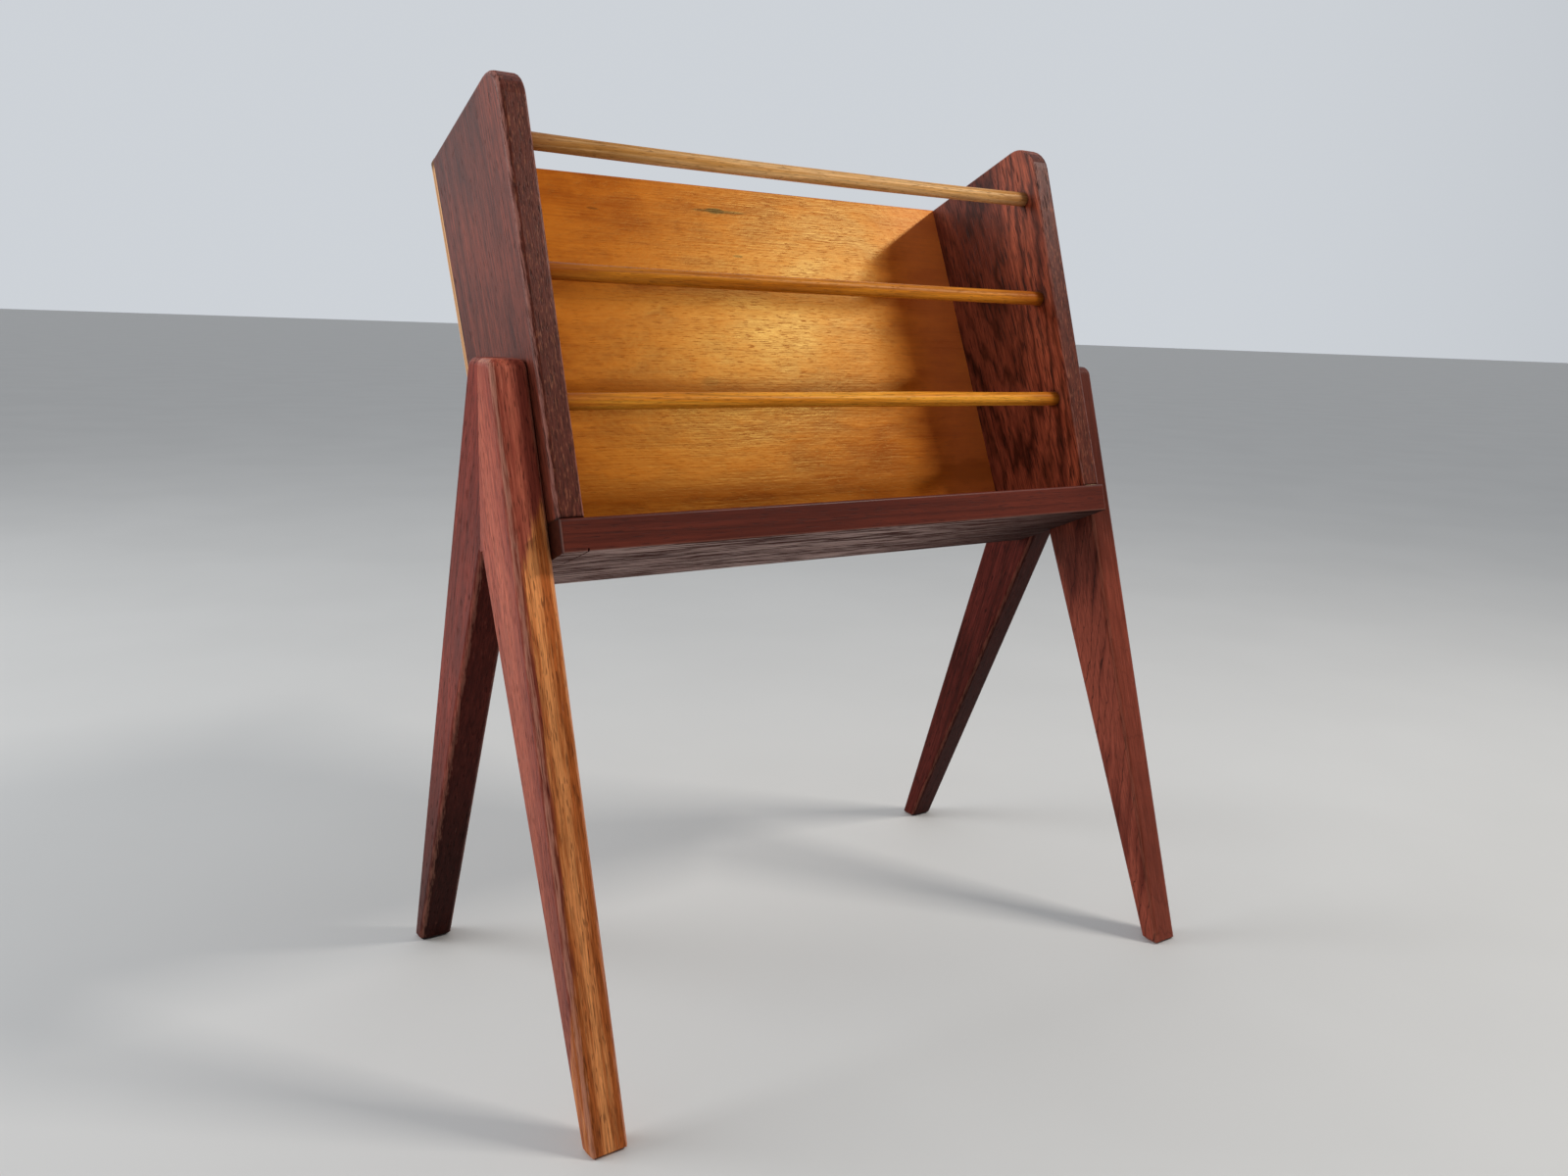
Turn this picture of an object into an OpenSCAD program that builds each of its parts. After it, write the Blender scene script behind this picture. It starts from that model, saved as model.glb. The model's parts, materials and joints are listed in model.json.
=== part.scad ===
// Magazine rack: a back-leaning box of two end panels, a plywood back, a bottom board and
// three front rails, carried between two inverted-V leg frames.
// +Z is up, +X runs along the box to its right end and -Y is the open front.
// The origin is on the floor, midway between the four feet.

/* [Box] */
// Width of the box over both end panels
box_w = 400; // [320:5:500]
// Thickness of each end panel
end_t = 15.5; // [14:0.5:20]
// Depth of an end panel where it stands on the bottom board
base_depth = 83; // [68:1:100]
// Depth of an end panel at its top edge, before the corner is rounded
top_depth = 105.5; // [88:0.5:127]
// Height of the end panels, measured along their back edge
panel_h = 241.5; // [200:0.5:290]
// Angle that the box leans back from upright
lean = 23.5; // [18:0.5:29]
// Radius of the top front corner of an end panel
top_corner_r = 18; // [8:1:24]
// Rounding of the arris on the outer face of an end panel
panel_outer_round = 3; // [1:0.5:5]
// Rounding of the arris on the inner face of an end panel
panel_inner_round = 1.5; // [0.5:0.5:3]
// Rounding of the bottom front corner of an end panel
panel_toe_r = 2; // [0.5:0.5:3]
// Distance from the middle of the leg frames back to the heel of the box
heel_y = 25.5; // [18:0.5:32]
// Height of the crotch of the legs above the heel of the box
heel_drop = 7.5; // [4:0.5:12]

/* [Bottom board] */
// Thickness of the bottom board
board_t = 17.5; // [14:0.5:21]
// How far the board stands out in front of the end panels
board_nose = 3; // [1.5:0.5:6]
// Undercut angle of the board's front edge
board_rake = 8; // [0:1:12]
// Rounding along the top of the board's front edge
board_top_r = 1.5; // [1:0.5:4]
// Rounding along the bottom of the board's front edge
board_low_r = 1.2; // [0.6:0.2:2]
// Rounding of the front edge at the two ends of the board
board_end_round = 1.5; // [0.5:0.5:3]
// Distance from the board's left end to an old split where it leaves the front edge
split_edge = 14.5; // [12:0.5:18]
// How far back the split runs before it turns towards the end
split_run = 25; // [15:1:30]
// Width of the split at the front edge
split_w = 1; // [0.4:0.1:1.5]
// Depth of the split in the underside
split_depth = 1.5; // [0.5:0.5:2]

/* [Back panel] */
// Thickness of the plywood
ply_t = 4.5; // [3:0.5:6]
// Radius of the plywood's two top corners
ply_corner_r = 3; // [1:0.5:8]
// Rounding of the plywood's edges
ply_round = 0.6; // [0.2:0.1:1]
// How far the plywood stops short of the board's underside
ply_short = 2; // [0:0.5:4]

/* [Rails] */
// Diameter of a rail
rail_d = 9.5; // [8:0.5:12]
// Distance from the front edge of the end panels back to the middle of a rail
rail_setback = 14.5; // [11:0.5:20]
// Height of the lowest rail above the bottom board
rail_low = 65; // [45:1:80]
// Distance from the top of the end panels down to the highest rail
rail_top_gap = 36; // [30:1:45]
// Depth of the blind rail holes in the end panels
rail_hole_depth = 8; // [5:0.5:9]
// Play between a rail and its hole, on the diameter
rail_fit = 0.2; // [0.05:0.05:0.5]

/* [Leg frames] */
// Thickness of the legs
leg_t = 21; // [17:0.5:26]
// Depth over the feet at the floor
stance = 270; // [225:1:325]
// Height of the crotch between the two legs of a frame
crotch_h = 279; // [230:1:335]
// Height of the glued joint between the two legs, from the crotch to the top
joint_h = 103.5; // [86:0.5:125]
// Width of a leg frame at its top, before the corners are rounded
frame_top_w = 30; // [24:1:40]
// Width of a foot at the floor
foot_w = 13; // [10:0.5:18]
// Radius of the top corners of a leg frame
frame_corner_r = 7; // [4:0.5:10]
// Rounding of the arrises on the outer face of the legs
leg_outer_round = 4; // [1:0.5:5]
// Rounding of the arrises on the inner face of the legs
leg_inner_round = 3; // [1:0.5:5]
// Height of the bevel round each sole
sole_bevel = 2.4; // [0.4:0.2:3]

/* [Dowel pins] */
// Diameter of the pins between leg frame and box
frame_pin_d = 8; // [6:1:8]
// Diameter of the pins in the leg joint and under the end panels
joint_pin_d = 6; // [5:1:6]
// Depth of a frame pin in the leg
frame_pin_in_leg = 13; // [8:0.5:14]
// Depth of a frame pin in the end panel or the board's end
frame_pin_in_box = 10; // [6:0.5:11]
// Distance of the panel's frame pins either side of the leg joint
frame_pin_y = 14; // [12:0.5:16]
// Height of the panel's frame pins above the crotch
frame_pin_rise = 51; // [46:1:54]
// Distances from the back edge of the board to its two frame pins
board_pin_x = [9, 45]; // [6:1:60]
// Depth of a leg-joint pin in each leg
joint_pin_half = 14; // [8:0.5:14]
// Heights of the leg-joint pins above the crotch
joint_pin_rise = [31, 71]; // [20:1:85]
// Depth of a panel pin in the bottom board
foot_pin_in_board = 12; // [8:0.5:12]
// Depth of a panel pin in the end panel
foot_pin_in_panel = 16; // [12:0.5:24]
// Distance of the panel pins from the panel's back and front edges
foot_pin_edge = 22; // [18:0.5:26]
// Glue space round every dowel pin, on the radius
glue = 0.05; // [0.02:0.01:0.1]
// Spare depth at the end of every blind hole
end_gap = 0.5; // [0.2:0.1:1]

/* [Panel pins] */
// Diameter of a panel pin's shank
nail_d = 1.4; // [1.2:0.1:1.8]
// Length of a panel pin
nail_l = 20; // [15:1:25]
// Diameter of a panel pin's head
nail_head_d = 2.6; // [2.2:0.1:3]
// Height of a panel pin's head
nail_head_h = 0.8; // [0.5:0.1:1.2]
// Distance of the end pins from the ends of the row up an end panel
nail_edge = 16; // [12:1:25]
// Number of pins up each end panel
nails_up = 5; // [3:1:7]
// Number of pins along the bottom board
nails_along = 6; // [4:1:9]

/* [Hidden] */
$fn = 64;
skin = 0.5;                                   // how far a cutter stands proud of the surface it cuts
run_on = 2;                                   // how far an arris cutter runs past the side's ends
chord_turn = 12;                              // largest turn between two chords of a corner
ease = 1.12;                                  // how much flatter than a quarter round an arris is
half_w = box_w / 2;
inner_x = half_w - end_t;
heel_z = crotch_h - heel_drop;
frame_h = crotch_h + joint_h;
board_front = base_depth + board_nose;
board_front_low = board_front - board_t * tan(board_rake);
rail_high = panel_h - rail_top_gap;
rail_mid = (rail_low + rail_high) / 2;
rail_l = 2 * (inner_x + rail_hole_depth - end_gap);
panel_mid_x = half_w - end_t / 2;             // where the pins in a panel's edges are centred
leg_mid_x = half_w + leg_t / 2;
pin_bevel = 0.8;
panel_outline = [[0, 0], [base_depth, 0], [top_depth, panel_h], [0, panel_h]];
board_outline = [[0, 0], [0, -board_t], [board_front_low, -board_t], [board_front, 0]];
leg_outline = [[0, crotch_h], [stance / 2 - foot_w, 0], [stance / 2, 0],
    [frame_top_w / 2, frame_h], [0, frame_h]];
nail_rows = [for (i = [0 : nails_up - 1])
    nail_edge + i * (panel_h - 2 * nail_edge) / (nails_up - 1)];
nail_pitch = 2 * (inner_x - nail_edge) / (nails_along - 1);

panel_wood = [0.36, 0.2, 0.15];
leg_wood = [0.42, 0.22, 0.15];
board_wood = [0.3, 0.17, 0.13];
ply_wood = [0.74, 0.45, 0.15];
rail_wood = [0.78, 0.47, 0.18];
dowel_wood = [0.8, 0.68, 0.5];
steel = [0.6, 0.6, 0.6];

// ---- placing -------------------------------------------------------------------------------

// Sideways view of a leg frame: x forwards, y up, z towards the left end
module in_frame() rotate([90, 0, -90]) children();

// Sideways view of the leaning box: x forwards from the back edge, y up the back edge,
// z towards the left end, with the origin at the heel
module in_box() translate([0, heel_y, heel_z]) rotate([-lean, 0, 0]) in_frame() children();

module right_hand() mirror([1, 0, 0]) children();

// ---- rounding ------------------------------------------------------------------------------

function unit(v) = v / norm(v);
function left_of(v) = [-v.y, v.x];
function aim(angle) = [cos(angle), sin(angle)];
function bearing(v) = atan2(v.y, v.x);
function before(i, list) = (i + len(list) - 1) % len(list);
function after(i, list) = (i + 1) % len(list);
// Direction of the side that leaves corner i of an outline drawn anticlockwise
function side(pts, i) = unit(pts[after(i, pts)] - pts[i]);
// How far the outline turns at corner i
function turn(pts, i) = (bearing(side(pts, i)) - bearing(side(pts, before(i, pts))) + 720) % 360;
function arc_centre(pts, r, i) =
    pts[i] + r * tan(turn(pts, i) / 2) * side(pts, i) + r * left_of(side(pts, i));
function chords(pts, i) = ceil(turn(pts, i) / chord_turn);
// The points of corner i: the corner itself where it is sharp, or the ends of its arc's chords
function bend(pts, r, i) = r == 0 ? [pts[i]] : [
    for (k = [0 : chords(pts, i)])
        arc_centre(pts, r, i) - r * left_of(aim(
            bearing(side(pts, before(i, pts))) + turn(pts, i) * k / chords(pts, i)))
];
// An outline with its corners rounded to the given radii
function soft_outline(pts, radii) = [for (i = [0 : len(pts) - 1]) each bend(pts, radii[i], i)];
// The arris radius of every side of that outline: a corner's chords take the smaller of the
// radii on its two sides
function soft_sides(pts, radii, soft) = [
    for (i = [0 : len(pts) - 1])
        let (count = len(bend(pts, radii[i], i)))
            for (k = [1 : count]) k == count ? soft[i] : min(soft[i], soft[before(i, pts)])
];

// What is cut from a square edge to round it: the edge is at the origin, with the material
// towards +x and +y, and the arc meets both faces at a slight angle, as sanding leaves it
module arris_waste(r) {
    reach = ease * r;
    difference() {
        polygon([[-skin, -skin], [reach, -skin], [reach, 0], [0, reach], [-skin, reach]]);
        translate([reach, reach]) circle(norm([reach - r, reach]));
    }
}

// What is cut from one face of a slab to round its arrises, one radius for each side
module face_waste(pts, soft) {
    for (i = [0 : len(pts) - 1])
        if (soft[i] > 0)
            translate(pts[i] - run_on * side(pts, i))
                rotate(bearing(side(pts, i)))
                    rotate([90, 0, 90])
                        linear_extrude(norm(pts[after(i, pts)] - pts[i]) + 2 * run_on)
                            arris_waste(soft[i]);
}

// A slab of thickness t with rounded corners, and with the arrises of its two faces rounded
module slab(pts, radii, t, low, high) {
    outline = soft_outline(pts, radii);
    difference() {
        linear_extrude(t) polygon(outline);
        face_waste(outline, soft_sides(pts, radii, low));
        translate([0, 0, t]) mirror([0, 0, 1]) face_waste(outline, soft_sides(pts, radii, high));
    }
}

// ---- pins and their holes ------------------------------------------------------------------

// A dowel pin along z, with bevelled ends; a hole is the same pin grown by its clearances
module dowel_pin(d, l) {
    translate([0, 0, pin_bevel]) cylinder(h = l - 2 * pin_bevel, d = d);
    cylinder(h = pin_bevel, d1 = d - 2 * pin_bevel, d2 = d);
    translate([0, 0, l - pin_bevel]) cylinder(h = pin_bevel, d1 = d, d2 = d - 2 * pin_bevel);
}

module dowel_hole(d, l) translate([0, 0, -end_gap]) cylinder(h = l + 2 * end_gap, r = d / 2 + glue);

// Puts a pin or a hole at each place where one goes on the left side
module at_panel_frame_pins()
    for (y = [-frame_pin_y, frame_pin_y])
        in_frame() translate([y, crotch_h + frame_pin_rise, half_w - frame_pin_in_box]) children();

module at_board_frame_pins()
    for (x = board_pin_x)
        in_box() translate([x, -board_t / 2, half_w - frame_pin_in_box]) children();

module at_board_dowels()
    for (x = [foot_pin_edge, base_depth - foot_pin_edge])
        in_box() translate([x, -foot_pin_in_board, panel_mid_x]) rotate([-90, 0, 0]) children();

module at_leg_joint_dowels()
    for (rise = joint_pin_rise)
        translate([-leg_mid_x, -joint_pin_half, crotch_h + rise]) rotate([-90, 0, 0]) children();

module at_side_nails()
    for (y = nail_rows)
        in_box() translate([-ply_t, y, panel_mid_x]) rotate([0, 90, 0]) children();

module at_bottom_nails()
    for (i = [0 : nails_along - 1])
        in_box() translate([-ply_t, -board_t / 2, nail_edge - inner_x + i * nail_pitch])
            rotate([0, 90, 0]) children();

module frame_pin_holes() {
    at_panel_frame_pins() dowel_hole(frame_pin_d, frame_pin_in_box + frame_pin_in_leg);
    at_board_frame_pins() dowel_hole(frame_pin_d, frame_pin_in_box + frame_pin_in_leg);
}

module board_dowel_holes() at_board_dowels() dowel_hole(joint_pin_d, foot_pin_in_board + foot_pin_in_panel);

module leg_joint_holes() at_leg_joint_dowels() dowel_hole(joint_pin_d, 2 * joint_pin_half);

module nail() {
    cylinder(h = nail_head_h, d = nail_head_d);
    cylinder(h = nail_l, d = nail_d);
}

// ---- box -----------------------------------------------------------------------------------

module at_rail(height) {
    front = base_depth + (top_depth - base_depth) * height / panel_h;
    in_box() translate([front - rail_setback, height, 0]) children();
}

module end_panel() {
    difference() {
        in_box() translate([0, 0, inner_x])
            slab(panel_outline, [0, panel_toe_r, top_corner_r, 0], end_t,
                [0, panel_inner_round, panel_inner_round, 0],
                [0, panel_outer_round, panel_outer_round, 0]);
        for (height = [rail_low, rail_mid, rail_high])
            at_rail(height) cylinder(h = inner_x + rail_hole_depth, d = rail_d + rail_fit);
        frame_pin_holes();
        board_dowel_holes();
        at_side_nails() nail();
    }
}

module end_panel_left() color(panel_wood) end_panel();

module end_panel_right() color(panel_wood) right_hand() end_panel();

module back_panel() {
    low = ply_short - board_t;
    outline = [[-half_w, low], [half_w, low], [half_w, panel_h], [-half_w, panel_h]];
    soft = [for (i = outline) ply_round];
    color(ply_wood) difference() {
        in_box() translate([-ply_t, 0, 0]) rotate([0, 90, 0])
            slab(outline, [0, 0, ply_corner_r, ply_corner_r], ply_t, soft, [0, 0, ply_round, 0]);
        at_side_nails() nail();
        right_hand() at_side_nails() nail();
        at_bottom_nails() nail();
    }
}

module bottom_board() {
    soft = [0, 0, board_end_round, 0];
    color(board_wood) difference() {
        in_box() translate([0, 0, -half_w])
            slab(board_outline, [0, 0, board_low_r, board_top_r], box_w, soft, soft);
        frame_pin_holes();
        right_hand() frame_pin_holes();
        board_dowel_holes();
        right_hand() board_dowel_holes();
        at_bottom_nails() nail();
        split();
    }
}

// A drying split that tapers from the front edge back towards the board's left end
module split() {
    front = base_depth + board_nose + skin;
    turn = base_depth - split_run;
    tip = turn - split_run / 2;
    at_front = half_w - split_edge;
    at_turn = at_front + split_run * 0.14;
    at_tip = at_turn + split_run * 0.16;
    in_box() translate([0, split_depth - board_t, 0]) rotate([90, 0, 0])
        linear_extrude(split_depth + skin)
            polygon([[front, at_front - split_w / 2], [front, at_front + split_w / 2],
                [turn, at_turn + split_w / 3], [tip, at_tip], [turn, at_turn - split_w / 3]]);
}

module rail(height) color(rail_wood) at_rail(height) cylinder(h = rail_l, d = rail_d, center = true);

module rail_top() rail(rail_high);

module rail_middle() rail(rail_mid);

module rail_bottom() rail(rail_low);

// ---- leg frames ----------------------------------------------------------------------------

// The front leg of the left frame; the joint face between the legs is the plane y = 0
module leg_blank() {
    free_sides = [1, 0, 1, 1, 0];             // all but the sole and the joint face
    difference() {
        in_frame() translate([0, 0, half_w])
            slab(leg_outline, [0, 0, 0, frame_corner_r, 0], leg_t,
                leg_inner_round * free_sides, leg_outer_round * free_sides);
        sole_waste();
    }
}

// A bevel along all four sides of the sole
module sole_waste() {
    toe = stance / 2;
    heel = toe - foot_w;
    run = leg_t + 2 * skin;
    in_frame() {
        for (x = [heel, toe])
            translate([x, 0, half_w + leg_t / 2]) rotate(45)
                cube([sole_bevel * sqrt(2), sole_bevel * sqrt(2), run], center = true);
        for (z = [half_w, half_w + leg_t])
            translate([(heel + toe) / 2, 0, z]) rotate([45, 0, 0])
                cube([run, sole_bevel * sqrt(2), sole_bevel * sqrt(2)], center = true);
    }
}

module leg_holes() {
    frame_pin_holes();
    leg_joint_holes();
}

module front_leg() {
    difference() {
        leg_blank();
        leg_holes();
    }
}

module back_leg() {
    difference() {
        mirror([0, 1, 0]) leg_blank();
        leg_holes();
    }
}

module front_leg_left() color(leg_wood) front_leg();

module back_leg_left() color(leg_wood) back_leg();

module front_leg_right() color(leg_wood) right_hand() front_leg();

module back_leg_right() color(leg_wood) right_hand() back_leg();

// ---- joinery -------------------------------------------------------------------------------

module leg_joint_dowels() at_leg_joint_dowels() dowel_pin(joint_pin_d, 2 * joint_pin_half);

module leg_joint_dowels_left() color(dowel_wood) leg_joint_dowels();

module leg_joint_dowels_right() color(dowel_wood) right_hand() leg_joint_dowels();

module frame_dowels() {
    at_panel_frame_pins() dowel_pin(frame_pin_d, frame_pin_in_box + frame_pin_in_leg);
    at_board_frame_pins() dowel_pin(frame_pin_d, frame_pin_in_box + frame_pin_in_leg);
}

module frame_dowels_left() color(dowel_wood) frame_dowels();

module frame_dowels_right() color(dowel_wood) right_hand() frame_dowels();

module board_dowels() at_board_dowels() dowel_pin(joint_pin_d, foot_pin_in_board + foot_pin_in_panel);

module board_dowels_left() color(dowel_wood) board_dowels();

module board_dowels_right() color(dowel_wood) right_hand() board_dowels();

module back_pins_left() color(steel) at_side_nails() nail();

module back_pins_right() color(steel) right_hand() at_side_nails() nail();

module back_pins_bottom() color(steel) at_bottom_nails() nail();

end_panel_left();
end_panel_right();
back_panel();
bottom_board();
rail_top();
rail_middle();
rail_bottom();
front_leg_left();
back_leg_left();
front_leg_right();
back_leg_right();
leg_joint_dowels_left();
leg_joint_dowels_right();
frame_dowels_left();
frame_dowels_right();
board_dowels_left();
board_dowels_right();
back_pins_left();
back_pins_right();
back_pins_bottom();
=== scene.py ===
import json
import math
import random

import bmesh
import bpy
from mathutils import Matrix, Vector

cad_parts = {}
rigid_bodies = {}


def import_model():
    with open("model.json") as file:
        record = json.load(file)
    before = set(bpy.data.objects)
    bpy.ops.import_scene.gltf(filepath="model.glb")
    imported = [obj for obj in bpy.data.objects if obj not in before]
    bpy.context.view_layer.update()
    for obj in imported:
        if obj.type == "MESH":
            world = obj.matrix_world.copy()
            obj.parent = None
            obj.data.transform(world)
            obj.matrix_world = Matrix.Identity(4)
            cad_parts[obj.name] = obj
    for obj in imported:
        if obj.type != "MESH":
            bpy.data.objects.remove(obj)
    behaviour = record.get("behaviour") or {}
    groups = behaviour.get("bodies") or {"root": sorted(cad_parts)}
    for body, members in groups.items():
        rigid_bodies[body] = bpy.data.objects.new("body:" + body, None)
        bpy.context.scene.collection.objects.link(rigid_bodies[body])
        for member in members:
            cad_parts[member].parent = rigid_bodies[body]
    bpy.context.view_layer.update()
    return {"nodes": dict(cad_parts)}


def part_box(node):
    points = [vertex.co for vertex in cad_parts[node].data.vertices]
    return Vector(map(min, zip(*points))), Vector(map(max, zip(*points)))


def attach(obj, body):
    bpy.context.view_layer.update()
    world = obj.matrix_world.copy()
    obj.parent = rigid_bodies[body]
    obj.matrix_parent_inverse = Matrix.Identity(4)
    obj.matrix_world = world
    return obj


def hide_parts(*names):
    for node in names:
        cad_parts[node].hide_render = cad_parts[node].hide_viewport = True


for leftover in list(bpy.data.objects):
    bpy.data.objects.remove(leftover)
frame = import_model()
nodes = frame["nodes"]
print("magazine rack:", len(nodes), "pieces loaded")


# where things are, read from the frame

def middleOf(name):
    low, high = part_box(name)
    return (low + high) / 2


lowRail, midRail, topRail = (middleOf("rail_" + place) for place in ("bottom", "middle", "top"))
lean = math.radians(23.5)  # how far the box leans back
upBack = Vector((0, math.sin(lean), math.cos(lean)))  # up the slope of the back
outFront = Vector((0, -upBack.z, upBack.y))  # square to the back, towards the open front
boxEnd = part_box("back_panel")[1].x
heel = Vector((0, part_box("bottom_board")[1].y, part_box("end_panel_left")[0].z))
sideways = Vector((1, 0, 0))
mm = 1000  # finishes are measured in millimetres


def inBox(point):  # how far forward of the back edge and how far up the slope, in millimetres
    offset = (point - heel) * mm
    return offset.dot(outFront), offset.dot(upBack)


# camera

view = {  # metres, degrees and millimetres
    "place": (-0.45231, -0.61582, 0.40358),
    "turn": 34.77,
    "tilt": -12.06,
    "roll": 1.99,
    "lens": 28.157,
    "sensor": 36,
}


def setCamera():
    data = bpy.data.cameras.new("viewer")
    data.lens = view["lens"]
    data.sensor_width = view["sensor"]
    data.clip_start = 0.01
    camera = bpy.data.objects.new("viewer", data)
    turn, tilt, roll = (math.radians(view[key]) for key in ("turn", "tilt", "roll"))
    turned = Matrix.Rotation(-turn, 4, "Z")
    tilted = Matrix.Rotation(math.pi / 2 + tilt, 4, "X")
    rolled = Matrix.Rotation(roll, 4, "Z")
    camera.matrix_world = Matrix.Translation(view["place"]) @ (turned @ tilted @ rolled)
    bpy.context.scene.collection.objects.link(camera)
    bpy.context.scene.camera = camera


setCamera()


# shader sums

def tint(code, strength=1.0):  # a screen colour such as "8a4b2f" as the linear colour that shaders take
    parts = [int(code[i:i + 2], 16) / 255 for i in (0, 2, 4)]
    linear = [part / 12.92 if part <= 0.04045 else ((part + 0.055) / 1.055) ** 2.4 for part in parts]
    return (*[part * strength for part in linear], 1)


class Wire:  # a socket that takes part in ordinary sums
    def __init__(self, finish, socket):
        self.finish = finish
        self.socket = socket

    def sum(self, operation, *values):
        return self.finish.node("Math", {"operation": operation}, dict(enumerate(values)))

    def __add__(self, other):
        return self.sum("ADD", self, other)

    def __radd__(self, other):
        return self.sum("ADD", other, self)

    def __sub__(self, other):
        return self.sum("SUBTRACT", self, other)

    def __rsub__(self, other):
        return self.sum("SUBTRACT", other, self)

    def __mul__(self, other):
        return self.sum("MULTIPLY", self, other)

    def __rmul__(self, other):
        return self.sum("MULTIPLY", other, self)

    def __truediv__(self, other):
        return self.sum("DIVIDE", self, other)

    def __pow__(self, other):
        return self.sum("POWER", self, other)

    def __abs__(self):
        return self.sum("ABSOLUTE", self)


class Recipe:  # a node tree that is filled by calls
    def __init__(self, tree):
        self.tree = tree
        self.tree.nodes.clear()
        self.count = 0

    def node(self, kind, settings=None, sockets=None, out=0):
        made = self.tree.nodes.new("ShaderNode" + kind)
        made.location = (-200 * (self.count // 12 + 1), -180 * (self.count % 12))
        self.count += 1
        for key, value in (settings or {}).items():
            setattr(made, key, value)
        for key, value in (sockets or {}).items():
            if isinstance(value, Wire):
                self.tree.links.new(value.socket, made.inputs[key])
            else:
                made.inputs[key].default_value = value
        return Wire(self, made.outputs[out])


class Finish(Recipe):  # one procedural material on one principled shader
    def __init__(self, name):
        self.material = bpy.data.materials.new(name)
        self.material.use_nodes = True
        super().__init__(self.material.node_tree)
        self.shader = self.tree.nodes.new("ShaderNodeBsdfPrincipled")
        output = self.tree.nodes.new("ShaderNodeOutputMaterial")
        self.tree.links.new(self.shader.outputs[0], output.inputs[0])
        place = self.node("TexCoord", out="Object")
        self.spot = self.node("VectorMath", {"operation": "SCALE"}, {0: place, "Scale": mm})
        self.normal = self.node("NewGeometry", out="Normal")

    def dot(self, vector, direction):
        sockets = {0: vector, 1: tuple(direction)}
        return self.node("VectorMath", {"operation": "DOT_PRODUCT"}, sockets, "Value")

    def measure(self, direction, start=0.0):  # distance along a direction, in millimetres past start
        dotted = self.dot(self.spot, direction)
        return dotted - start if start else dotted

    def facing(self, direction):  # 1 where the surface faces this way, 0 square to it, -1 away from it
        return self.dot(self.normal, direction)

    def combine(self, x, y, z):
        return self.node("CombineXYZ", None, {0: x, 1: y, 2: z})

    def noise(self, vector, scale, detail=2.0, roughness=0.5):  # about -0.5 to 0.5
        sockets = {"Vector": vector, "Scale": scale, "Detail": detail, "Roughness": roughness}
        return self.node("TexNoise", None, sockets) - 0.5

    def shade(self, colour, amount):  # a colour made lighter or darker by a value round 1
        colour = colour[:3] if isinstance(colour, tuple) else colour
        return self.node("VectorMath", {"operation": "SCALE"}, {0: colour, "Scale": amount})

    def lineNoise(self, value, scale, detail):  # noise along a single measure
        sockets = {"W": value, "Scale": scale, "Detail": detail}
        return self.node("TexNoise", {"noise_dimensions": "1D"}, sockets) - 0.5

    def smooth(self, value, low, high):  # 0 at low, 1 at high, eased between
        settings = {"interpolation_type": "SMOOTHSTEP"}
        sockets = {"Value": value, "From Min": low, "From Max": high, "To Min": 0.0, "To Max": 1.0}
        return self.node("MapRange", settings, sockets)

    def blend(self, factor, first, second):  # colours, first at 0 and second at 1
        settings = {"data_type": "RGBA", "clamp_factor": True}
        return self.node("Mix", settings, {0: factor, 6: first, 7: second}, 2)

    def most(self, first, second):
        return first.sum("MAXIMUM", first, second)

    def blob(self, measures, centre, size, soft):  # 1 inside an ellipse in the measures given
        total = 0.0
        for value, middle, half in zip(measures, centre, size):
            total = total + ((value - middle) / half) ** 2
        return self.smooth(total, 1 + soft, 1 - soft)

    def feed(self, name, wire):
        self.tree.links.new(wire.socket, self.shader.inputs[name])

    def coat(self, colour, roughness, height, constants):  # fills the shader and returns the material
        for name, value in constants.items():
            self.shader.inputs[name].default_value = value
        bump = self.node("Bump", None, {"Strength": 1.0, "Distance": 1 / mm, "Height": height})
        self.feed("Base Color", colour)
        self.feed("Roughness", roughness)
        self.feed("Normal", bump)
        return self.material


# solid timber, cut from a log whose heart and direction each piece sets

timberDefaults = {
    "origin": (0, 0, 0),
    "across": (1, 0, 0),
    "deep": (0, 1, 0),
    "along": (0, 0, 1),
    "heart": (20.0, 60.0),  # millimetres from the origin to the middle of the log
    "slope": 0.03,  # how fast the grain runs out of the face
    "ringGap": 3.5,  # millimetres between dark rings
    "wander": 14.0,  # how far the rings drift, and how far they wriggle
    "jitter": 2.0,
    "lineWidth": 0.3,  # share of a ring that is dark
    "lineStrength": 0.8,
    "feather": 0.7,  # how fibrous the edges of a dark line are
    "tones": (0.9, 0.9, 0.7),  # how much bands, streaks and clouds change the tone
    "streak": (0.03, 0.42),  # how drawn out the streaks are, and how fine
    "fibre": 1.8,  # light and dark along the fibres
    "pore": 0.7,
    "poreSize": 1.1,
    "seed": 0.0,
    "pale": "8d4d38",
    "body": "6b3325",
    "line": "230f0b",
}


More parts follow.
